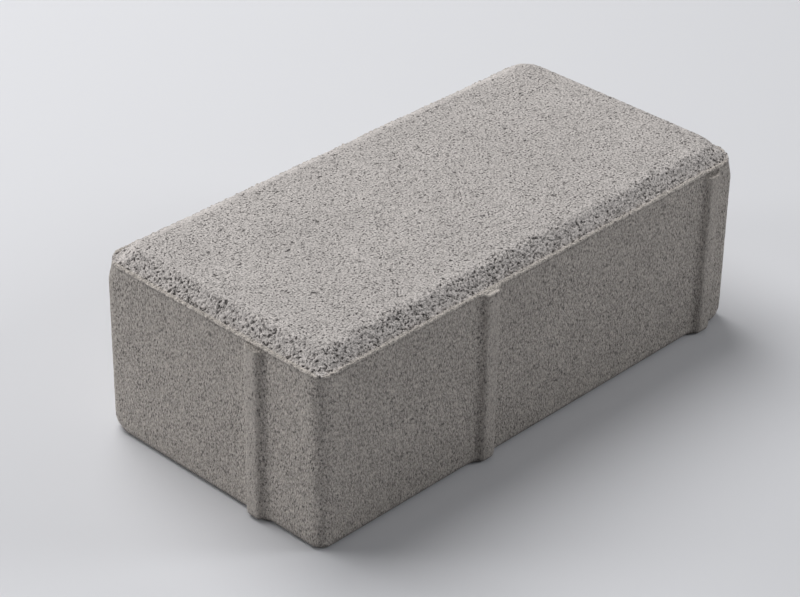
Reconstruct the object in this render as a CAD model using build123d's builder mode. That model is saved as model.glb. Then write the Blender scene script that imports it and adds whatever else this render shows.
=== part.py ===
import os

from build123d import *

# Cast body, without its spacer ribs
stone_length = 200.0
stone_width = 100.0
stone_height = 70.0
corner_radius = 5.0  # upright corners, as the mould box leaves them
bed_radius = 2.4  # soft arris round the bed face

# Chamfer round the wearing face, pressed by the tamper plate
side_chamfer_run = 6.0  # along the two long sides
end_chamfer_run = 4.5  # steeper at the two ends
chamfer_drop = 5.6
face_corner_radius = 10.0  # corners of the wearing face
arris_radius = 3.0  # worn edge between chamfer and wearing face

# Lip squeezed up between the tamper plate and the mould wall
lip_width = 1.0
lip_rise = 0.4  # depth of the groove that it leaves at the chamfer's foot

# Upright spacer ribs that keep the laid joint open
rib_foot_width = 10.0
rib_crown_width = 4.5
rib_projection = 2.5
rib_foot_radius = 2.0
rib_crown_radius = 2.0

# Rib centres, measured along each side from the nearest corner
near_rib_offset = 74.0  # long side, from its left corner
far_rib_offset = 14.5  # long side, from its right corner
end_rib_offset = 28.5  # short side, from its right corner

# Levels and plan sizes that follow from the driving dimensions
lip_height = stone_height - chamfer_drop
groove_height = lip_height - lip_rise
plate_length = stone_length - 2 * lip_width
plate_width = stone_width - 2 * lip_width
plate_corner_radius = corner_radius - lip_width
face_length = plate_length - 2 * end_chamfer_run
face_width = plate_width - 2 * side_chamfer_run

# One rib in plan, facing -Y, with its root sunk in the body
foot_half = rib_foot_width / 2
crown_half = rib_crown_width / 2
root_half = foot_half + rib_foot_radius
with BuildSketch() as rib:
    with BuildLine():
        flanks = FilletPolyline(
            (-root_half, 0),
            (-foot_half, 0),
            (-crown_half, -rib_projection),
            (crown_half, -rib_projection),
            (foot_half, 0),
            (root_half, 0),
            radius=[rib_foot_radius, rib_crown_radius, rib_crown_radius, rib_foot_radius],
        )
        Polyline(flanks @ 1, (root_half, rib_projection), (-root_half, rib_projection), flanks @ 0)
    make_face()

# Ribs stand on one long and one short side only, so that each laid joint gets one set of them
rib_places = [
    Location((near_rib_offset - stone_length / 2, -stone_width / 2)),
    Location((stone_length / 2 - far_rib_offset, -stone_width / 2)),
    Location((-stone_length / 2, end_rib_offset - stone_width / 2), -90),
]

with BuildPart() as paving_stone:
    # Body and ribs rise together from the bed face to the lip
    with BuildSketch():
        RectangleRounded(stone_length, stone_width, corner_radius)
        with Locations(*rib_places):
            add(rib.sketch)
    extrude(amount=lip_height)
    fillet(paving_stone.edges().group_by(Axis.Z)[0], bed_radius)

    # The tamper plate sinks below the lip, and the groove runs round its edge
    with BuildSketch(Plane.XY.offset(groove_height)):
        RectangleRounded(plate_length, plate_width, plate_corner_radius)
    extrude(amount=lip_rise, mode=Mode.SUBTRACT)

    # Chamfer from the groove up to the wearing face
    with BuildSketch(Plane.XY.offset(groove_height)):
        RectangleRounded(plate_length, plate_width, plate_corner_radius)
    with BuildSketch(Plane.XY.offset(stone_height)):
        RectangleRounded(face_length, face_width, face_corner_radius)
    loft(ruled=True)
    fillet(paving_stone.edges().group_by(Axis.Z)[-1], arris_radius)

paving_stone.part.label = "paving_stone"
os.makedirs("parts", exist_ok=True)
export_step(paving_stone.part, "parts/paving_stone.step")
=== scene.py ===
from math import radians

import bmesh
import bpy
from mathutils import Matrix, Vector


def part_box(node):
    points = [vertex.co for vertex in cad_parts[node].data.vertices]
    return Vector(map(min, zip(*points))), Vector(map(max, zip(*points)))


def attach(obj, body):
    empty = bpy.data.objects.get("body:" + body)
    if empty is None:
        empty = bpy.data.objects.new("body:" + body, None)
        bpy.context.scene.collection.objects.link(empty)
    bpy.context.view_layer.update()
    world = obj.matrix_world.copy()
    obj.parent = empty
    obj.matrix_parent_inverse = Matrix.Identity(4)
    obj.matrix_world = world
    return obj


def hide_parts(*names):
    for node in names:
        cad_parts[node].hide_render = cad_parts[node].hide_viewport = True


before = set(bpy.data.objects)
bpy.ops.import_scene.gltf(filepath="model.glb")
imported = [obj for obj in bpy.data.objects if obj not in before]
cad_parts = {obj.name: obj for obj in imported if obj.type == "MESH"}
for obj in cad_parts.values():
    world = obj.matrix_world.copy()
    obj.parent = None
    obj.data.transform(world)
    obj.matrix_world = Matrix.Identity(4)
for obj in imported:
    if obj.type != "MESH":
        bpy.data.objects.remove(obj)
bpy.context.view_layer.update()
stoneLow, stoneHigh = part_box("paving_stone")
mm = 0.001
print("frame loaded, nodes:", sorted(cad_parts))


# selecting and applying, as done by hand

touch = mm / 10  # heights closer than this count as the same
facing = 0.9     # a face looks an axis's way when its normal has this much of it


def pick(kind, test):
    # in edit mode, selects the vertices, edges or faces that pass the test
    bpy.ops.mesh.select_mode(type=kind)
    bpy.ops.mesh.select_all(action="DESELECT")
    mesh = bmesh.from_edit_mesh(bpy.context.object.data)
    for item in {"VERT": mesh.verts, "EDGE": mesh.edges, "FACE": mesh.faces}[kind]:
        if test(item):
            item.select_set(True)
    bmesh.update_edit_mesh(bpy.context.object.data)


def selectOnly(piece):
    bpy.ops.object.select_all(action="DESELECT")
    piece.select_set(True)
    bpy.context.view_layer.objects.active = piece


def addCube(name, size, centre):
    bpy.ops.object.select_all(action="DESELECT")
    bpy.ops.mesh.primitive_cube_add(size=1, location=centre, scale=size)
    bpy.ops.object.transform_apply(location=True, rotation=True, scale=True)
    cube = bpy.context.object
    cube.name = name
    return cube


def applyModifier(piece, kind, **settings):
    selectOnly(piece)
    modifier = piece.modifiers.new(kind.lower(), kind)
    for name, value in settings.items():
        setattr(modifier, name, value)
    bpy.ops.object.modifier_apply(modifier=modifier.name)


# nodes, for the relief and the materials alike

noiseMiddle = 0.5  # a noise texture swings about this


def addNode(tree, kind, inputs=None, **settings):
    node = tree.nodes.new(kind)
    for name, value in settings.items():
        setattr(node, name, value)
    for key, value in (inputs or {}).items():
        if isinstance(value, bpy.types.NodeSocket):
            tree.links.new(value, node.inputs[key])
        else:
            node.inputs[key].default_value = value
    return node


def calc(tree, operation, first, second=0.0):
    return addNode(tree, "ShaderNodeMath", {0: first, 1: second}, operation=operation).outputs[0]


def total(tree, *terms):
    result = terms[0]
    for term in terms[1:]:
        result = calc(tree, "ADD", result, term)
    return result


def product(tree, *factors):
    result = factors[0]
    for factor in factors[1:]:
        result = calc(tree, "MULTIPLY", result, factor)
    return result


def inverse(tree, mask):
    return calc(tree, "SUBTRACT", 1.0, mask)


def ramp(tree, value, start, end):
    # rises smoothly from 0 at the start to 1 at the end
    limits = {"Value": value, "From Min": start, "From Max": end}
    return addNode(tree, "ShaderNodeMapRange", limits, interpolation_type="SMOOTHSTEP").outputs[0]


def between(tree, share, low, high):
    # the mix node's numbers are its sockets 2 and 3
    return addNode(tree, "ShaderNodeMix", {"Factor": share, 2: low, 3: high}).outputs[0]


def blend(tree, share, low, high):
    # and its colours are 6 and 7, mixed in output 2
    inputs = {"Factor": share, 6: low, 7: high}
    return addNode(tree, "ShaderNodeMix", inputs, data_type="RGBA").outputs[2]


def vector(tree, x, y, z):
    return addNode(tree, "ShaderNodeCombineXYZ", {0: x, 1: y, 2: z}).outputs[0]


def scaled(tree, base, factor):
    # a vector or colour, times a number
    inputs = {0: base, "Scale": factor}
    return addNode(tree, "ShaderNodeVectorMath", inputs, operation="SCALE").outputs[0]


def noise(tree, place, size, detail=1.0, roughness=0.5):
    # swings about zero, by about half either way
    limits = {"Vector": place, "Scale": 1 / size, "Detail": detail, "Roughness": roughness}
    return calc(tree, "SUBTRACT", addNode(tree, "ShaderNodeTexNoise", limits).outputs[0], noiseMiddle)


# the block, as it leaves the mould

block = {
    "cornerRadius": 5.0 * mm,
    "cornerSteps": 8,
    "bedRadius": 2.4 * mm,
    "bedSteps": 4,
    "lipWidth": 1.0 * mm,
    "lipRise": 0.4 * mm,
    "sideRun": 5.6 * mm,      # chamfer along the long sides
    "endRun": 4.5 * mm,       # and at the two ends
    "chamferDrop": 5.6 * mm,
    "faceCorner": 7.0 * mm,   # corner radius of the wearing face
    "nearCorner": 10.0 * mm,  # rounder at the near corner
    "sideArris": 2.5 * mm,    # worn edge along the long sides
    "endArris": 0.7 * mm,     # crisper at the two ends
    "arrisSteps": 5,
}

# ribs stand on the -X and -Y sides only, so the plain sides give the block's size
length = 2 * stoneHigh.x
width = 2 * stoneHigh.y
height = stoneHigh.z - stoneLow.z
lipHeight = height - block["chamferDrop"]


def isUpright(edge):
    return abs(edge.verts[0].co.z - edge.verts[1].co.z) > lipHeight / 2


def isBedEdge(edge):
    return max(vert.co.z for vert in edge.verts) < touch


def isTop(face):
    return face.normal.z > facing


def isFaceCorner(vert, x, y):
    reach = block["nearCorner"]  # takes in all of one corner
    return vert.co.z > height - touch and abs(vert.co.x - x) < reach and abs(vert.co.y - y) < reach


def weighArris(piece):
    # each top edge is rounded by its direction, so the corners lead from side to end
    weight = piece.data.attributes.new("bevel_weight_edge", "FLOAT", "EDGE")
    endShare = block["endArris"] / block["sideArris"]
    for edge in piece.data.edges:
        first, second = (piece.data.vertices[index].co for index in edge.vertices)
        if min(first.z, second.z) > height - touch:
            along = abs((second - first).normalized().x)
            weight.data[edge.index].value = endShare + (1 - endShare) * along


def makeBlock():
    made = addCube("paving_stone_cast", (length, width, lipHeight), (0, 0, lipHeight / 2))
    bpy.ops.object.mode_set(mode="EDIT")
    pick("EDGE", isUpright)
    bpy.ops.mesh.bevel(offset=block["cornerRadius"], segments=block["cornerSteps"], affect="EDGES")
    pick("EDGE", isBedEdge)
    bpy.ops.mesh.bevel(offset=block["bedRadius"], segments=block["bedSteps"], affect="EDGES")
    # lip, groove inside it, and chamfer up to the wearing face
    pick("FACE", isTop)
    bpy.ops.mesh.inset(thickness=block["lipWidth"])
    bpy.ops.mesh.extrude_region_move(TRANSFORM_OT_translate={"value": (0, 0, -block["lipRise"])})
    rise = block["lipRise"] + block["chamferDrop"]
    bpy.ops.mesh.extrude_region_move(TRANSFORM_OT_translate={"value": (0, 0, rise)})
    plateLength = length - 2 * block["lipWidth"]
    plateWidth = width - 2 * block["lipWidth"]
    shrink = (1 - 2 * block["endRun"] / plateLength, 1 - 2 * block["sideRun"] / plateWidth, 1)
    bpy.ops.transform.resize(value=shrink, center_override=(0, 0, height))
    # its corners are rounder than the lip's, each grown about the point its sides meet at
    plateCorner = block["cornerRadius"] - block["lipWidth"]
    faceX = plateLength / 2 - block["endRun"]
    faceY = plateWidth / 2 - block["sideRun"]
    for signX, signY in ((1, 1), (1, -1), (-1, 1), (-1, -1)):
        radius = block["nearCorner"] if signX + signY < 0 else block["faceCorner"]
        growth = [radius / plateCorner / scale for scale in shrink[:2]]
        cornerX = signX * faceX
        cornerY = signY * faceY
        pick("VERT", lambda vert: isFaceCorner(vert, cornerX, cornerY))
        bpy.ops.transform.resize(value=(*growth, 1), center_override=(cornerX, cornerY, height))
    bpy.ops.object.mode_set(mode="OBJECT")
    weighArris(made)
    applyModifier(
        made, "BEVEL", width=block["sideArris"], segments=block["arrisSteps"], limit_method="WEIGHT"
    )
    return made


# the spacer ribs

rib = {
    "proud": 2.5 * mm,
    "root": 1.5 * mm,         # how far its back is sunk in the block
    "footWidth": 10.0 * mm,
    "flareStart": 0.7 * mm,   # the foot flares out from here to the wall
    "flareWidth": 11.6 * mm,
    "crownWidth": 5.0 * mm,
    "crownRound": 0.8 * mm,
    "crownSteps": 4,
    "nearOffset": 74.0 * mm,  # along the long side, from its left corner
    "farOffset": 14.5 * mm,   # along the long side, from its right corner
    "endOffset": 28.5 * mm,   # along the short side, from its right corner
    "sideTurn": 0,            # degrees, from facing -Y
    "endTurn": -90,
    "nearDrop": 0.0 * mm,     # how far each one ends below the lip
    "farDrop": 1.6 * mm,
    "endDrop": 1.1 * mm,
}


def isCrown(face):
    return face.normal.y < -facing


def isBack(face):
    return face.normal.y > facing


def isCrownEdge(edge):
    return isUpright(edge) and edge.verts[0].co.y < -rib["proud"] / 2


def isFootEdge(edge):
    return isBedEdge(edge) and min(vert.co.y for vert in edge.verts) < 0


def makeRib():
    # one rib at the origin, facing -Y
    depth = rib["proud"] + rib["root"]
    middle = (rib["root"] - rib["proud"]) / 2
    made = addCube("rib", (rib["footWidth"], depth, lipHeight), (0, middle, lipHeight / 2))
    bpy.ops.object.mode_set(mode="EDIT")
    # the foot flares evenly into the wall, so the sunk back is wider still
    tread = rib["proud"] - rib["flareStart"]
    neckWidth = rib["crownWidth"] + (rib["footWidth"] - rib["crownWidth"]) * tread / rib["proud"]
    backWidth = rib["flareWidth"] + (rib["flareWidth"] - neckWidth) * rib["root"] / rib["flareStart"]
    pick("FACE", isCrown)
    bpy.ops.transform.resize(value=(rib["crownWidth"] / rib["footWidth"], 1, 1), center_override=(0, 0, 0))
    pick("EDGE", isCrownEdge)
    bpy.ops.mesh.bevel(offset=rib["crownRound"], segments=rib["crownSteps"], affect="EDGES")
    pick("EDGE", isFootEdge)
    bpy.ops.mesh.bevel(offset=block["bedRadius"], segments=block["bedSteps"], affect="EDGES")
    bpy.ops.mesh.select_all(action="SELECT")
    bpy.ops.mesh.bisect(plane_co=(0, -rib["flareStart"], 0), plane_no=(0, 1, 0))
    pick("FACE", isBack)
    bpy.ops.transform.resize(value=(backWidth / rib["footWidth"], 1, 1), center_override=(0, 0, 0))
    bpy.ops.object.mode_set(mode="OBJECT")
    return made


def placeRibs(body):
    # two on the long side and one on the short side
    places = (
        (rib["nearOffset"] - length / 2, -width / 2, rib["sideTurn"], rib["nearDrop"]),
        (length / 2 - rib["farOffset"], -width / 2, rib["sideTurn"], rib["farDrop"]),
        (-length / 2, rib["endOffset"] - width / 2, rib["endTurn"], rib["endDrop"]),
    )
    pattern = makeRib()
    copies = []
    for x, y, turn, drop in places:
        selectOnly(pattern)
        bpy.ops.object.duplicate(linked=False)
        copy = bpy.context.object
        copy.location = (x, y, 0)
        copy.rotation_euler = (0, 0, radians(turn))
        copy.scale = (1, 1, 1 - drop / lipHeight)
        bpy.ops.object.transform_apply(location=True, rotation=True, scale=True)
        copies.append(copy)
    bpy.data.objects.remove(pattern)
    selectOnly(body)
    for copy in copies:
        copy.select_set(True)
    bpy.ops.object.join()


stone = makeBlock()
placeRibs(stone)
print("block and ribs joined:", len(stone.data.polygons), "faces")


# where things are on the stone, in millimetres

zone = {
    "halfLength": length / 2 / mm,
    "halfWidth": width / 2 / mm,
    "lipTop": lipHeight / mm,
    "lipFace": 0.4,       # how far the lip reaches down the wall
    "lipBlend": 0.15,
    "shadeDrop": 0.7,     # how far the shade under it reaches, below that
    "softFar": 0.3,       # lip and shade fade out this far past their ends
    "softNear": 0.1,      # and are full this far before them
    "beadSize": 1.1,
    "beadSwing": 0.9,
    "foot": block["lipWidth"] / mm,
    "wearDrop": 0.6,      # chamfer and groove start this far below the lip's top
    "wearBlend": 0.4,
    "grooveFull": 0.5,    # the groove, in from the lip
    "grooveEnd": 0.9,
    "endHead": (block["lipWidth"] + block["endRun"]) / mm,
    "sideHead": (block["lipWidth"] + block["sideRun"]) / mm,
    "fadeStart": 1.0,     # open grain thins out from this far before the chamfer's head
    "fadeEnd": 4.0,       # to this far past it, on the flat
    # the back band also carries a painted highlight
    "backStart": 10.5,    # smooth band on the back arris, in from the back
    "backFull": 7.5,
    "backHold": 6.4,
    "backEnd": 4.8,
    "wallFine": 1.3,      # patterns are finer on the walls
    "wallDrag": 0.50,     # and drawn out upright, by the mould
    "wallLean": 0.12,
    "endDrag": 0.55,      # and up the slope at the two ends
}


def findZones(tree, place):
    # masks for the parts of the surface, and the place with its drawn-out patterns
    x, y, z = addNode(tree, "ShaderNodeSeparateXYZ", {0: place}).outputs
    fromEnd = calc(tree, "SUBTRACT", zone["halfLength"], calc(tree, "ABSOLUTE", x))
    fromSide = calc(tree, "SUBTRACT", zone["halfWidth"], calc(tree, "ABSOLUTE", y))
    inside = calc(tree, "MINIMUM", fromEnd, fromSide)
    pastEndHead = calc(tree, "SUBTRACT", fromEnd, zone["endHead"])
    pastSideHead = calc(tree, "SUBTRACT", fromSide, zone["sideHead"])
    pastHead = calc(tree, "MINIMUM", pastEndHead, pastSideHead)
    foot = zone["foot"]
    lipTop = zone["lipTop"]

    # patterns are drawn out on the walls and at the ends
    aboveLip = calc(tree, "GREATER_THAN", z, lipTop - zone["wearDrop"])
    isWear = product(tree, calc(tree, "GREATER_THAN", inside, foot), aboveLip)
    isWall = inverse(tree, isWear)
    beforeHead = calc(tree, "LESS_THAN", pastHead, 0.0)
    isEnd = product(tree, calc(tree, "LESS_THAN", fromEnd, fromSide), beforeHead, isWear)
    lean = product(tree, z, isWall, zone["wallLean"])
    drawnX = total(tree, product(tree, x, between(tree, isEnd, 1.0, 1 - zone["endDrag"])), lean)
    drawnZ = product(tree, z, between(tree, isWall, 1.0, 1 - zone["wallDrag"]))
    drawn = vector(tree, drawnX, total(tree, y, lean), drawnZ)

    # the lip hangs over the wall in small beads
    beads = product(tree, noise(tree, place, zone["beadSize"]), zone["beadSwing"])
    aboveBeads = total(tree, z, beads, zone["lipFace"] - lipTop)
    outside = ramp(tree, inside, foot + zone["softFar"], foot - zone["softNear"])
    onEdge = product(tree, ramp(tree, aboveBeads, -zone["lipBlend"], zone["lipBlend"]), outside)
    pastLip = product(tree, ramp(tree, inside, foot, foot + zone["softFar"]), aboveLip)
    beforeSlope = ramp(tree, inside, foot + zone["grooveEnd"], foot + zone["grooveFull"])

    onWear = product(tree, ramp(tree, inside, foot, foot + zone["wearBlend"]), aboveLip)
    onFlat = ramp(tree, pastHead, -zone["fadeStart"], zone["fadeEnd"])
    backMost = zone["halfWidth"]
    nearBack = ramp(tree, y, backMost - zone["backStart"], backMost - zone["backFull"])
    beforeBack = ramp(tree, y, backMost - zone["backEnd"], backMost - zone["backHold"])
    return {
        "x": x,
        "y": y,
        "height": z,
        "fromEnd": fromEnd,
        "fromSide": fromSide,
        "inside": inside,
        "outside": outside,
        "aboveBeads": aboveBeads,
        "drawn": scaled(tree, drawn, between(tree, isWall, 1.0, zone["wallFine"])),
        "onWear": onWear,
        "onFlat": onFlat,
        "onSlope": product(tree, onWear, inverse(tree, onFlat)),
        "onEdge": onEdge,
        "onBack": product(tree, onWear, nearBack, beforeBack),
        "inGroove": product(tree, pastLip, beforeSlope),
    }


# pores between the grains: sizes and depths in millimetres, levels as the noise has them

pore = {
    "size": 0.70,
    "slopeSize": 0.88,    # larger on the chamfer
    "softness": 0.09,
    "slopeLevel": -0.07,  # the higher the level, the more of the surface is open
    "flatLevel": -0.12,
    "wallLevel": -0.17,
    "grooveLevel": -0.02,
    "patchSize": 7.0,
    "patchSwing": 0.13,
    "backClose": 0.06,    # the back arris is smoother
    "pitSize": 1.5,
    "pitLevel": -0.18,    # a few large pits
    "slopeDepth": 0.50,
    "flatDepth": 0.25,
    "wallDepth": 0.12,
}


def findOpenness(tree, place, zones):
    # how open the surface is, from 0 to 1
    wearLevel = between(tree, zones["onFlat"], pore["slopeLevel"], pore["flatLevel"])
    wearLevel = calc(tree, "SUBTRACT", wearLevel, product(tree, zones["onBack"], pore["backClose"]))
    level = between(tree, zones["onWear"], pore["wallLevel"], wearLevel)
    level = between(tree, zones["inGroove"], level, pore["grooveLevel"])
    patches = product(tree, noise(tree, place, pore["patchSize"]), pore["patchSwing"])
    start = total(tree, level, patches)
    fineGaps = noise(tree, zones["drawn"], pore["size"])
    gaps = between(tree, zones["onSlope"], fineGaps, noise(tree, zones["drawn"], pore["slopeSize"]))
    openness = ramp(tree, gaps, start, calc(tree, "SUBTRACT", start, pore["softness"]))
    pitEnd = pore["pitLevel"] - pore["softness"]
    pits = ramp(tree, noise(tree, place, pore["pitSize"]), pore["pitLevel"], pitEnd)
    return calc(tree, "MAXIMUM", openness, product(tree, pits, zones["onWear"]))


def findDepth(tree, zones):
    # how deep an open pore goes
    wearDepth = between(tree, zones["onFlat"], pore["slopeDepth"], pore["flatDepth"])
    return between(tree, zones["onWear"], pore["wallDepth"], wearDepth)


# the skin: block and ribs fused, then given the relief of pressed concrete

skin = {
    "voxel": 0.40 * mm,
    "triangles": 196000,
    "bandDrop": 1.6 * mm,     # the band that keeps its faces, down the wall
    "bandWidth": 2.2 * mm,    # and in from it
    "lipWeight": 1.0,
    "chamferWeight": 0.5,
    "weightFactor": 4.0,
}

# in millimetres
relief = {
    "broadSize": 38.0,
    "broadSwing": 0.45,
    "coarseSize": 2.6,
    "coarseDetail": 2.0,  # octaves of noise
    "coarseWall": 0.18,
    "coarseWear": 0.45,
    "grainSize": 1.0,
    "grainWall": 0.18,
    "grainWear": 0.50,
    "crumbSize": 1.0,
    "crumbSwing": 1.5,
    "lipStand": 0.32,
    "crumbFull": 0.5,     # the lip's crumbs thin out from this far out on a rib
    "crumbEnd": 0.9,
    "cornerFull": 1.0,    # worn corners, in plan from the corner itself
    "cornerReach": 8.5,
    "cornerDepth": 8.0,   # and down from the lip
    "cornerPull": 0.013,  # shares of the distance from the middle
    "footPull": 0.018,
    "footDepth": 6.5,     # up from the bed face
    "bedClear": 0.3,      # the bed face stays flat
    "bedBlend": 2.5,
}


def findWorn(tree, zones):
    # the left and right corners are worn round, at the lip and at the foot
    isWorn = calc(tree, "LESS_THAN", product(tree, zones["x"], zones["y"]), 0.0)
    squares = [calc(tree, "POWER", zones[name], 2.0) for name in ("fromEnd", "fromSide")]
    fromCorner = calc(tree, "SQRT", total(tree, *squares))
    near = product(tree, isWorn, ramp(tree, fromCorner, relief["cornerReach"], relief["cornerFull"]))
    high = ramp(tree, zones["height"], zone["lipTop"] - relief["cornerDepth"], zone["lipTop"])
    low = ramp(tree, zones["height"], relief["footDepth"], 0.0)
    return product(tree, near, high), product(tree, near, low, low)


def buildRelief():
    tree = bpy.data.node_groups.new("castRelief", "GeometryNodeTree")
    tree.interface.new_socket("Geometry", in_out="INPUT", socket_type="NodeSocketGeometry")
    tree.interface.new_socket("Geometry", in_out="OUTPUT", socket_type="NodeSocketGeometry")
    entry = addNode(tree, "NodeGroupInput")
    leave = addNode(tree, "NodeGroupOutput")
    position = addNode(tree, "GeometryNodeInputPosition").outputs[0]
    normal = addNode(tree, "GeometryNodeInputNormal").outputs[0]
    place = scaled(tree, position, 1 / mm)
    zones = findZones(tree, place)
    drawn = zones["drawn"]

    broad = product(tree, noise(tree, place, relief["broadSize"]), relief["broadSwing"])
    coarseSwing = between(tree, zones["onWear"], relief["coarseWall"], relief["coarseWear"])
    coarse = product(tree, noise(tree, drawn, relief["coarseSize"], relief["coarseDetail"]), coarseSwing)
    grainSwing = between(tree, zones["onWear"], relief["grainWall"], relief["grainWear"])
    grain = product(tree, noise(tree, drawn, relief["grainSize"]), grainSwing)
    crumbs = product(tree, noise(tree, place, relief["crumbSize"]), relief["crumbSwing"])
    worn, wornFoot = findWorn(tree, zones)
    offRibs = ramp(tree, zones["inside"], -relief["crumbEnd"], -relief["crumbFull"])
    onLip = product(tree, zones["onEdge"], offRibs)
    lip = product(tree, onLip, inverse(tree, worn), total(tree, crumbs, relief["lipStand"]))

    sunk = product(tree, findOpenness(tree, place, zones), findDepth(tree, zones))
    raised = calc(tree, "SUBTRACT", total(tree, broad, coarse, grain, lip), sunk)
    clearOfBed = ramp(tree, zones["height"], relief["bedClear"], relief["bedBlend"])
    rise = scaled(tree, normal, product(tree, raised, clearOfBed, mm))
    lipPull = product(tree, worn, -relief["cornerPull"] * mm)
    pull = total(tree, lipPull, product(tree, wornFoot, -relief["footPull"] * mm))
    wear = vector(tree, product(tree, zones["x"], pull), product(tree, zones["y"], pull), 0.0)
    offset = addNode(tree, "ShaderNodeVectorMath", {0: rise, 1: wear}, operation="ADD").outputs[0]
    moved = addNode(tree, "GeometryNodeSetPosition", {"Geometry": entry.outputs[0], "Offset": offset})
    tree.links.new(moved.outputs[0], leave.inputs[0])
    return tree


def insideOf(place):
    # how far a place is from the nearest side plane
    return min(length / 2 - abs(place.x), width / 2 - abs(place.y))


def holdBand(piece):
    # the lip keeps all its faces when the skin is thinned, and the chamfer most of them
    group = piece.vertex_groups.new(name="heldBand")
    lip = []
    chamfer = []
    for vert in piece.data.vertices:
        if vert.co.z > lipHeight - skin["bandDrop"]:
            inside = insideOf(vert.co)
            if inside < skin["bandWidth"]:
                lip.append(vert.index)
            elif inside < block["lipWidth"] + block["sideRun"]:
                chamfer.append(vert.index)
    group.add(lip, skin["lipWeight"], "REPLACE")
    group.add(chamfer, skin["chamferWeight"], "REPLACE")
    return group.name


applyModifier(stone, "REMESH", mode="VOXEL", voxel_size=skin["voxel"], use_smooth_shade=True)
print("skin fused:", len(stone.data.polygons), "faces")
held = holdBand(stone)
applyModifier(stone, "NODES", node_group=buildRelief())
stone.data.calc_loop_triangles()
thin = min(1.0, skin["triangles"] / len(stone.data.loop_triangles))
applyModifier(
    stone, "DECIMATE", ratio=thin, use_collapse_triangulate=True,
    vertex_group=held, invert_vertex_group=True, vertex_group_factor=skin["weightFactor"],
)
bpy.ops.object.shade_smooth()
print("relief raised and thinned:", len(stone.data.polygons), "triangles")


# concrete

concrete = {
    "wearColour": (0.534, 0.498, 0.476, 1),
    # the walls are darker than the wearing face, partly their own tone and partly painted shade
    "wallColour": (0.403, 0.370, 0.338, 1),
    # painted shade inside pores and cracks
    "poreShade": (0.15, 0.140, 0.133, 1),
    "roughness": 0.92,
    "specular": 0.4,
    "grainDetail": 2.0,   # octaves of noise
    "grainRough": 0.8,
    "mottleDetail": 3.0,
    "mottleRough": 0.55,
    # in millimetres
    "grainSize": 0.70,
    "crackSize": 1.7,
    "patchSize": 3.2,
    "mottleSize": 22.0,
    "grainBump": 0.45,
    "crackBump": 0.20,
    "poreBump": 0.30,
    "nearBlend": 3.0,     # the near chamfer's tone blends this far either side of its corners
    "crownStart": 1.2,    # a rib's crown, out from the wall
    "crownFull": 2.0,
    # painted contact shadow: the colour is darkened at the foot, round its rim
    "footTop": 2.8,       # the foot is darker up to here
    "footReach": 5.0,     # and this far in under the stone
    # factors and shares
    "wearContrast": 3.6,
    "wallContrast": 3.2,
    "wearBrightest": 0.08,
    "wallBrightest": 0.16,
    "crackWidth": 0.03,
    "crackPatch": 0.12,
    "crackWear": 0.65,
    "crackWall": 0.30,
    "mottleContrast": 0.26,
    # painted highlight on the lip's bead
    "lipHighlight": 0.32,
    "lipShade": 0.20,
    "footShade": 0.70,
    # painted highlight on the ribs' crowns
    "crownHighlight": 0.08,
    "crownContrast": 0.6,
    # painted light on the chamfers, more of it along the near side
    "slopePaintedLight": 0.03,
    "nearPaintedLight": 0.19,     # more on the chamfer along the near side
    # painted highlight along the back arris
    "backHighlight": 0.16,
    "backContrast": 0.5,
    # painted highlight on the ribs' tops
    "ribTopHighlight": 0.20,
}


def newGroup(name, inputs, outputs):
    tree = bpy.data.node_groups.new(name, "ShaderNodeTree")
    for label, kind in inputs:
        tree.interface.new_socket(label, in_out="INPUT", socket_type="NodeSocket" + kind)
    for label, kind in outputs:
        tree.interface.new_socket(label, in_out="OUTPUT", socket_type="NodeSocket" + kind)
    return tree, addNode(tree, "NodeGroupInput").outputs, addNode(tree, "NodeGroupOutput").inputs


def buildCastFaces():
    # zones and open pores, from the place on the stone
    masks = (
        "On Wear", "On Slope", "On Near", "On Back", "On Edge",
        "Under Edge", "On Crown", "Painted Foot Shade", "Open Pore",
    )
    outputs = (("Drawn", "Vector"), *((mask, "Float") for mask in masks))
    tree, given, result = newGroup("castFaces", (("Place", "Vector"),), outputs)
    zones = findZones(tree, given["Place"])

    # painted light on the chamfer along the near side, and painted shade under the lip
    sideNearer = calc(tree, "SUBTRACT", zones["fromEnd"], zones["fromSide"])
    alongSide = ramp(tree, sideNearer, -concrete["nearBlend"], concrete["nearBlend"])
    isNear = calc(tree, "LESS_THAN", zones["y"], 0.0)
    shadeEnd = -zone["shadeDrop"] - zone["softFar"]
    shadeFull = -zone["shadeDrop"] + zone["softNear"]
    belowLip = product(tree, ramp(tree, zones["aboveBeads"], shadeEnd, shadeFull), zones["outside"])
    underStone = ramp(tree, zones["inside"], concrete["footReach"], concrete["footReach"] / 2)
    found = {
        "Drawn": zones["drawn"],
        "On Wear": zones["onWear"],
        "On Slope": zones["onSlope"],
        "On Near": product(tree, zones["onSlope"], alongSide, isNear),
        "On Back": zones["onBack"],
        "On Edge": zones["onEdge"],
        "Under Edge": product(tree, belowLip, inverse(tree, zones["onEdge"])),
        "On Crown": ramp(tree, zones["inside"], -concrete["crownStart"], -concrete["crownFull"]),
        # painted contact shadow round the foot's rim
        "Painted Foot Shade": product(tree, ramp(tree, zones["height"], concrete["footTop"], 0.0), underStone),
        "Open Pore": findOpenness(tree, given["Place"], zones),
    }
    for label, value in found.items():
        tree.links.new(value, result[label])
    return tree


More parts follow.
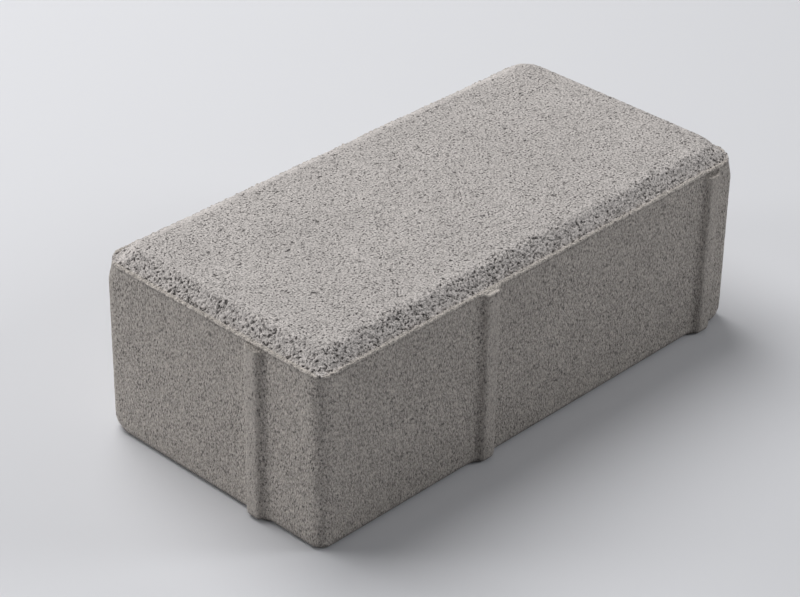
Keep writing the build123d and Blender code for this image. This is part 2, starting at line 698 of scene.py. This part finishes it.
def buildSandGrain():
    # grains of sand with their own tones, and fine cracks between some of them
    outputs = (("Tone", "Float"), ("Crack", "Float"), ("Height", "Float"))
    tree, given, result = newGroup("sandGrain", (("Drawn", "Vector"),), outputs)
    drawn = given["Drawn"]
    grain = noise(tree, drawn, concrete["grainSize"], concrete["grainDetail"], concrete["grainRough"])
    worm = calc(tree, "ABSOLUTE", noise(tree, drawn, concrete["crackSize"]))
    patch = ramp(tree, noise(tree, drawn, concrete["patchSize"]), 0.0, concrete["crackPatch"])
    crack = product(tree, ramp(tree, worm, concrete["crackWidth"], 0.0), patch)
    raised = product(tree, grain, concrete["grainBump"])
    sunk = product(tree, crack, concrete["crackBump"])
    tree.links.new(grain, result["Tone"])
    tree.links.new(crack, result["Crack"])
    tree.links.new(calc(tree, "SUBTRACT", raised, sunk), result["Height"])
    return tree


def buildMottle():
    tree, given, result = newGroup("castMottle", (("Place", "Vector"),), (("Tone", "Float"),))
    size = concrete["mottleSize"]
    cloud = noise(tree, given["Place"], size, concrete["mottleDetail"], concrete["mottleRough"])
    tree.links.new(total(tree, 1.0, product(tree, cloud, concrete["mottleContrast"])), result["Tone"])
    return tree


def lifted(tree, mask, lift):
    # a plain tone of one, changed by this share where the mask is
    return between(tree, mask, 1.0, 1.0 + lift)


def findPaintedLight(tree, masks):
    # painted highlights on lip, ribs and back arris, painted light on the chamfers, painted shade under
    # the lip and at the foot
    slopePaintedLight = product(tree, masks["On Slope"], concrete["slopePaintedLight"])
    nearPaintedLight = product(tree, masks["On Near"], concrete["nearPaintedLight"])
    onRibTop = product(tree, masks["On Crown"], masks["On Edge"])
    return product(
        tree,
        lifted(tree, masks["On Edge"], concrete["lipHighlight"]),
        lifted(tree, masks["Under Edge"], -concrete["lipShade"]),
        total(tree, 1.0, slopePaintedLight, nearPaintedLight),
        lifted(tree, masks["On Crown"], concrete["crownHighlight"]),
        lifted(tree, masks["Painted Foot Shade"], -concrete["footShade"]),
        lifted(tree, masks["On Back"], concrete["backHighlight"]),
        lifted(tree, onRibTop, concrete["ribTopHighlight"]),
    )


def findGrainTone(tree, masks, grain):
    # grains differ less on the crowns and the back arris, and none is much brighter than the paste
    contrast = product(
        tree,
        between(tree, masks["On Wear"], concrete["wallContrast"], concrete["wearContrast"]),
        between(tree, masks["On Crown"], 1.0, concrete["crownContrast"]),
        between(tree, masks["On Back"], 1.0, concrete["backContrast"]),
    )
    brightest = between(tree, masks["On Wear"], concrete["wallBrightest"], concrete["wearBrightest"])
    return total(tree, 1.0, product(tree, calc(tree, "MINIMUM", grain, brightest), contrast))


def buildConcrete():
    material = bpy.data.materials.new("pressedConcrete")
    material.use_nodes = True
    tree = material.node_tree
    tree.nodes.clear()
    place = scaled(tree, addNode(tree, "ShaderNodeTexCoord").outputs["Object"], 1 / mm)
    faces = addNode(tree, "ShaderNodeGroup", node_tree=buildCastFaces())
    tree.links.new(place, faces.inputs["Place"])
    grain = addNode(tree, "ShaderNodeGroup", node_tree=buildSandGrain())
    tree.links.new(faces.outputs["Drawn"], grain.inputs["Drawn"])
    mottle = addNode(tree, "ShaderNodeGroup", node_tree=buildMottle())
    tree.links.new(place, mottle.inputs["Place"])
    masks = faces.outputs

    # paste by zone, toned by grain and mottle, with painted shade in cracks and pores
    paste = blend(tree, masks["On Wear"], concrete["wallColour"], concrete["wearColour"])
    grainTone = findGrainTone(tree, masks, grain.outputs["Tone"])
    tone = product(tree, grainTone, mottle.outputs["Tone"], findPaintedLight(tree, masks))
    toned = scaled(tree, paste, tone)
    crackShare = between(tree, masks["On Wear"], concrete["crackWall"], concrete["crackWear"])
    crackShade = product(tree, grain.outputs["Crack"], crackShare)
    paintedShade = calc(tree, "MAXIMUM", masks["Open Pore"], crackShade)
    colour = blend(tree, paintedShade, toned, concrete["poreShade"])

    sunk = product(tree, masks["Open Pore"], concrete["poreBump"])
    bump = addNode(tree, "ShaderNodeBump", {"Strength": 1.0, "Distance": mm})
    tree.links.new(calc(tree, "SUBTRACT", grain.outputs["Height"], sunk), bump.inputs["Height"])
    surface = addNode(tree, "ShaderNodeBsdfPrincipled")
    surface.inputs["Roughness"].default_value = concrete["roughness"]
    surface.inputs["Specular IOR Level"].default_value = concrete["specular"]
    tree.links.new(colour, surface.inputs["Base Color"])
    tree.links.new(bump.outputs[0], surface.inputs["Normal"])
    out = addNode(tree, "ShaderNodeOutputMaterial")
    tree.links.new(surface.outputs[0], out.inputs["Surface"])
    return material


stone.data.materials.append(buildConcrete())
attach(stone, "root")
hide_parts("paving_stone")
print("concrete finished")


# floor, light and camera

floor = {
    "size": 8.0,
    "colour": (0.75, 0.752, 0.775, 1),
    "roughness": 0.9,
    "specular": 0.1,
}


def makeFloor():
    bpy.ops.object.select_all(action="DESELECT")
    bpy.ops.mesh.primitive_plane_add(size=floor["size"], location=(0, 0, stoneLow.z))
    ground = bpy.context.object
    ground.name = "floor"
    material = bpy.data.materials.new("paleFloor")
    material.use_nodes = True
    surface = material.node_tree.nodes["Principled BSDF"]
    surface.inputs["Base Color"].default_value = floor["colour"]
    surface.inputs["Roughness"].default_value = floor["roughness"]
    surface.inputs["Specular IOR Level"].default_value = floor["specular"]
    ground.data.materials.append(material)


studio = {
    "keyPlace": (0.0, 0.70, 1.21),      # above the stone and behind it
    "keySize": 1.2,
    "keyPower": 15.9,
    "keyColour": (1.0, 1.0, 1.0),
    "leftPlace": (-0.97, 0.97, 0.29),   # low, on the far left
    "leftSize": 0.45,
    "leftPower": 5.4,
    "leftColour": (1.0, 1.0, 1.0),
    "rightPlace": (0.87, -0.87, 0.66),  # on the near right
    "rightSize": 0.45,
    "rightPower": 4.0,
    "rightColour": (0.97, 0.985, 1.0),
    "skyColour": (0.94, 0.965, 1.0, 1),
    "skyStrength": 0.15,
}


def addLamp(name):
    bpy.ops.object.select_all(action="DESELECT")
    bpy.ops.object.light_add(type="AREA", location=studio[name + "Place"])
    lamp = bpy.context.object
    lamp.name = name
    lamp.data.shape = "DISK"
    lamp.data.size = studio[name + "Size"]
    lamp.data.energy = studio[name + "Power"]
    lamp.data.color = studio[name + "Colour"]
    lamp.rotation_euler = lamp.location.to_track_quat("Z", "Y").to_euler()  # aimed at the stone


def makeLight():
    for name in ("key", "left", "right"):
        addLamp(name)
    world = bpy.data.worlds.new("studioSky")
    world.use_nodes = True
    sky = world.node_tree.nodes["Background"]
    sky.inputs["Color"].default_value = studio["skyColour"]
    sky.inputs["Strength"].default_value = studio["skyStrength"]
    bpy.context.scene.world = world


eye = {
    "place": (-0.55955, -0.52151, 0.49755),
    "azimuth": -46.276,
    "elevation": 31.549,
    "roll": 0.950,
    "focalPixels": 2655.1,
    "imageWidth": 800,
    "sensorWidth": 36.0,
}


def makeCamera():
    bpy.ops.object.select_all(action="DESELECT")
    bpy.ops.object.camera_add(location=eye["place"])
    camera = bpy.context.object
    camera.data.sensor_width = eye["sensorWidth"]
    camera.data.lens = eye["focalPixels"] / eye["imageWidth"] * eye["sensorWidth"]
    turn = Matrix.Rotation(radians(eye["azimuth"]), 4, "Z")
    tilt = Matrix.Rotation(radians(90 - eye["elevation"]), 4, "X")
    roll = Matrix.Rotation(radians(eye["roll"]), 4, "Z")
    camera.matrix_world = Matrix.Translation(eye["place"]) @ turn @ tilt @ roll
    bpy.context.scene.camera = camera


makeFloor()
makeLight()
makeCamera()
bpy.context.scene.view_settings.view_transform = "Standard"
print("floor, light and camera placed")
